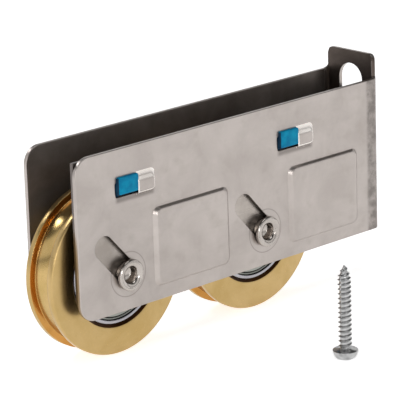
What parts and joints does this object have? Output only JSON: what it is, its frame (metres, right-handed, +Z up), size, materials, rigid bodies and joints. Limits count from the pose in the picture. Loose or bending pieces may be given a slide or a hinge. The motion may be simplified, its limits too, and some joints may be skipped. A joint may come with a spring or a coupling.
{
  "type": "tandem sliding-door roller",
  "caption": "Two grooved wheels on ball bearings, on a slide plate that a screw raises and lowers in a folded sheet housing; it carries a sliding door along a rail.",
  "frame": {"origin": "centre of the fixing hole, on the outer face of the housing's end plate", "axes": "+X out of the end plate, away from the wheels; +Y from the plate with the glide pads to the plain plate; +Z up, away from the rail"},
  "size_m": [0.1264, 0.0701, 0.065],
  "materials": {
    "housing_sheet": "satin cold-rolled sheet, lightly stained",
    "glide_plastic": "moulded, slightly glossy",
    "slide_sheet": "satin cold-rolled sheet",
    "adjuster_steel": "zinc plated",
    "pin_steel": "bright turned",
    "spacer_steel": "turned",
    "bearing_steel": "ground and polished",
    "cage_steel": "pressed",
    "shield_steel": "pressed, zinc plated",
    "wheel_brass": "machined, satin flanges and bright groove",
    "screw_steel": "zinc plated, slightly dull"
  },
  "bodies": {
    "housing": {"housing": "housing_sheet", "glide_pad_lead": "glide_plastic", "glide_pad_tail": "glide_plastic"},
    "carriage": {"slide_plate": "slide_sheet", "adjuster_nut": "adjuster_steel", "pin_lead": "pin_steel", "pin_tail": "pin_steel", "sleeve_lead": "spacer_steel", "sleeve_tail": "spacer_steel", "near_spacer_lead": "spacer_steel", "near_spacer_tail": "spacer_steel", "far_spacer_lead": "spacer_steel", "far_spacer_tail": "spacer_steel", "inner_ring_lead": "bearing_steel", "inner_ring_tail": "bearing_steel"},
    "washer": {"adjuster_washer": "adjuster_steel"},
    "adjuster": {"adjuster_screw": "adjuster_steel"},
    "lead_wheel": {"wheel_lead": "wheel_brass", "outer_ring_lead": "bearing_steel", "shields_lead": "shield_steel"},
    "tail_wheel": {"wheel_tail": "wheel_brass", "outer_ring_tail": "bearing_steel", "shields_tail": "shield_steel"},
    "lead_ball_set": {"balls_lead": "bearing_steel", "cage_lead": "cage_steel"},
    "tail_ball_set": {"balls_tail": "bearing_steel", "cage_tail": "cage_steel"},
    "loose_screw": {"fixing_screw": "screw_steel"}
  },
  "joints": [
    {"name": "height_travel", "type": "slide", "parent": "housing", "child": "carriage", "axis": [-0.6626, 0, 0.749], "range_m": [0, 0.0122]},
    {"name": "washer_lift", "type": "slide", "parent": "housing", "child": "washer", "axis": [0, 0, 1], "range_m": [0, 0.00914]},
    {"name": "adjuster_turn", "type": "hinge", "parent": "washer", "child": "adjuster", "pos_m": [0, -0.0003, 0.02006], "axis": [1, 0, 0], "range_deg": [0, 2911]},
    {"name": "lead_wheel_spin", "type": "hinge", "parent": "carriage", "child": "lead_wheel", "pos_m": [-0.0989, 0, -0.004], "axis": [0, 1, 0], "continuous": true},
    {"name": "tail_wheel_spin", "type": "hinge", "parent": "carriage", "child": "tail_wheel", "pos_m": [-0.0474, 0, -0.004], "axis": [0, 1, 0], "continuous": true},
    {"name": "lead_balls_spin", "type": "hinge", "parent": "carriage", "child": "lead_ball_set", "pos_m": [-0.0989, 0, -0.004], "axis": [0, 1, 0], "continuous": true},
    {"name": "tail_balls_spin", "type": "hinge", "parent": "carriage", "child": "tail_ball_set", "pos_m": [-0.0474, 0, -0.004], "axis": [0, 1, 0], "continuous": true},
    {"name": "screw_lift", "type": "slide", "parent": "housing", "child": "loose_screw", "axis": [0, 0, 1], "range_m": [0, 0.03]}
  ],
  "couplings": [
    {"joint": "washer_lift", "follows": "height_travel", "ratio": 0.74896},
    {"joint": "adjuster_turn", "follows": "height_travel", "rad_per_m": 4163.4},
    {"joint": "lead_balls_spin", "follows": "lead_wheel_spin", "ratio": 0.61905},
    {"joint": "tail_balls_spin", "follows": "tail_wheel_spin", "ratio": 0.61905}
  ]
}
